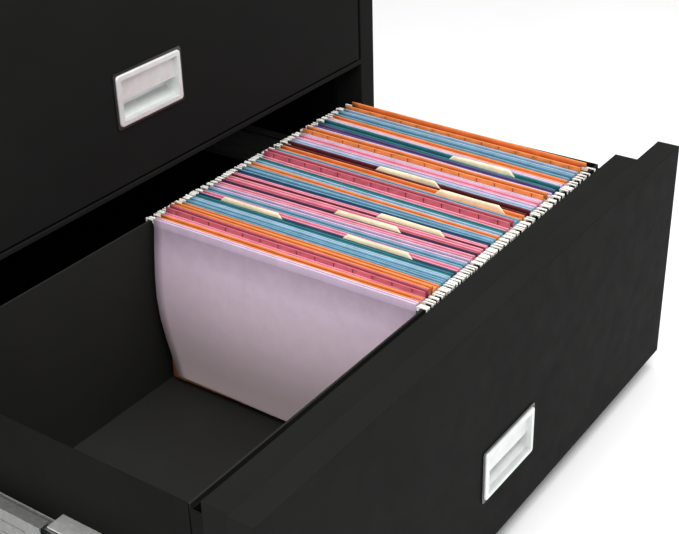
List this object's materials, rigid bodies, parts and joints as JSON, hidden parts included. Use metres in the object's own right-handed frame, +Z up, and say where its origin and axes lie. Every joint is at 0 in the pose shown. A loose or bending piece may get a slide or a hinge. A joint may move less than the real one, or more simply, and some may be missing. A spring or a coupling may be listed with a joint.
{
  "type": "metal filing cabinet",
  "caption": "Fire-insulated lateral filing cabinet with telescopic drawers, recessed pulls and hanging folders.",
  "frame": {"origin": "on the floor at the centre of the cabinet's footprint", "axes": "+X to the cabinet's right, -Y towards the user, +Z up"},
  "size_m": [0.9524, 1.062, 0.705],
  "materials": {
    "cabinet_paint": "black powder coat, fine texture, satin",
    "drawer_paint": "black powder coat, satin",
    "liner_paint": "black paint, matt",
    "insulation": "cast mineral insulation, rough",
    "zinc": "bright zinc plate",
    "pull_metal": "satin nickel",
    "pull_black": "gloss black moulding",
    "ball_steel": "steel balls in a plated retainer",
    "lock_metal": "bright chrome",
    "folder_paper": "coloured card stock",
    "folder_rod": "white coated steel rod",
    "manila": "manila card"
  },
  "bodies": {
    "cabinet": {"left_side_panel": "cabinet_paint", "right_side_panel": "cabinet_paint", "top_panel": "cabinet_paint", "bottom_pan": "cabinet_paint", "back_panel": "cabinet_paint", "middle_rail": "cabinet_paint", "lower_liner": "liner_paint", "upper_liner": "liner_paint", "left_insulation": "insulation", "right_insulation": "insulation", "top_insulation": "insulation", "bottom_insulation": "insulation", "divider_insulation": "insulation", "back_insulation": "insulation", "lock_housing": "lock_metal", "lower_left_cabinet_member": "zinc", "lower_right_cabinet_member": "zinc", "upper_left_cabinet_member": "zinc", "upper_right_cabinet_member": "zinc"},
    "lower_drawer": {"lower_head_panel": "cabinet_paint", "lower_plug_pan": "cabinet_paint", "lower_head_core": "insulation", "lower_pull_backplate": "pull_black", "lower_pull_cup": "pull_metal", "lower_tray": "drawer_paint", "lower_left_drawer_side": "drawer_paint", "lower_right_drawer_side": "drawer_paint", "lower_head_brackets": "drawer_paint", "lower_left_slide_bracket": "zinc", "lower_right_slide_bracket": "zinc", "lower_left_drawer_member": "zinc", "lower_right_drawer_member": "zinc"},
    "lower_middle_members": {"lower_left_middle_member": "zinc", "lower_right_middle_member": "zinc"},
    "lower_outer_balls": {"lower_outer_ball_retainers": "ball_steel"},
    "lower_inner_balls": {"lower_inner_ball_retainers": "ball_steel"},
    "upper_drawer": {"upper_head_panel": "cabinet_paint", "upper_plug_pan": "cabinet_paint", "upper_head_core": "insulation", "upper_pull_backplate": "pull_black", "upper_pull_cup": "pull_metal", "upper_tray": "drawer_paint", "upper_left_drawer_side": "drawer_paint", "upper_right_drawer_side": "drawer_paint", "upper_head_brackets": "drawer_paint", "upper_left_slide_bracket": "zinc", "upper_right_slide_bracket": "zinc", "upper_left_drawer_member": "zinc", "upper_right_drawer_member": "zinc"},
    "upper_middle_members": {"upper_left_middle_member": "zinc", "upper_right_middle_member": "zinc"},
    "upper_outer_balls": {"upper_outer_ball_retainers": "ball_steel"},
    "upper_inner_balls": {"upper_inner_ball_retainers": "ball_steel"},
    "lock_plug": {"lock_plug": "lock_metal", "lock_cam": "lock_metal"},
    "lock_bolt": {"lock_bolt": "lock_metal"},
    "hanging_files": {"hanging_folders": "folder_paper", "folder_rods": "folder_rod", "folder_tabs": "manila"}
  },
  "joints": [
    {"name": "lower_drawer_slide", "type": "slide", "parent": "cabinet", "child": "lower_drawer", "axis": [0, -1, 0], "range_m": [-0.496, 0]},
    {"name": "lower_middle_members_slide", "type": "slide", "parent": "cabinet", "child": "lower_middle_members", "axis": [0, -1, 0], "range_m": [-0.248, 0]},
    {"name": "lower_outer_balls_slide", "type": "slide", "parent": "cabinet", "child": "lower_outer_balls", "axis": [0, -1, 0], "range_m": [-0.124, 0]},
    {"name": "lower_inner_balls_slide", "type": "slide", "parent": "cabinet", "child": "lower_inner_balls", "axis": [0, -1, 0], "range_m": [-0.372, 0]},
    {"name": "upper_drawer_slide", "type": "slide", "parent": "cabinet", "child": "upper_drawer", "axis": [0, -1, 0], "range_m": [0, 0.496]},
    {"name": "upper_middle_members_slide", "type": "slide", "parent": "cabinet", "child": "upper_middle_members", "axis": [0, -1, 0], "range_m": [0, 0.248]},
    {"name": "upper_outer_balls_slide", "type": "slide", "parent": "cabinet", "child": "upper_outer_balls", "axis": [0, -1, 0], "range_m": [0, 0.124]},
    {"name": "upper_inner_balls_slide", "type": "slide", "parent": "cabinet", "child": "upper_inner_balls", "axis": [0, -1, 0], "range_m": [0, 0.372]},
    {"name": "lock_turn", "type": "hinge", "parent": "cabinet", "child": "lock_plug", "pos_m": [0.4, -0.281, 0.69325], "axis": [0, 1, 0], "range_deg": [-90, 0]},
    {"name": "lock_bolt_slide", "type": "slide", "parent": "cabinet", "child": "lock_bolt", "axis": [0, 0, -1], "range_m": [0, 0.012]},
    {"name": "files_slide_along_rails", "type": "slide", "parent": "lower_drawer", "child": "hanging_files", "axis": [-1, 0, 0], "range_m": [0, 0.36]}
  ],
  "couplings": [
    {"joint": "lower_middle_members_slide", "follows": "lower_drawer_slide", "ratio": 0.5},
    {"joint": "lower_outer_balls_slide", "follows": "lower_drawer_slide", "ratio": 0.25},
    {"joint": "lower_inner_balls_slide", "follows": "lower_drawer_slide", "ratio": 0.75},
    {"joint": "upper_middle_members_slide", "follows": "upper_drawer_slide", "ratio": 0.5},
    {"joint": "upper_outer_balls_slide", "follows": "upper_drawer_slide", "ratio": 0.25},
    {"joint": "upper_inner_balls_slide", "follows": "upper_drawer_slide", "ratio": 0.75},
    {"joint": "lock_bolt_slide", "follows": "lock_turn", "m_per_rad": -0.0076394}
  ]
}
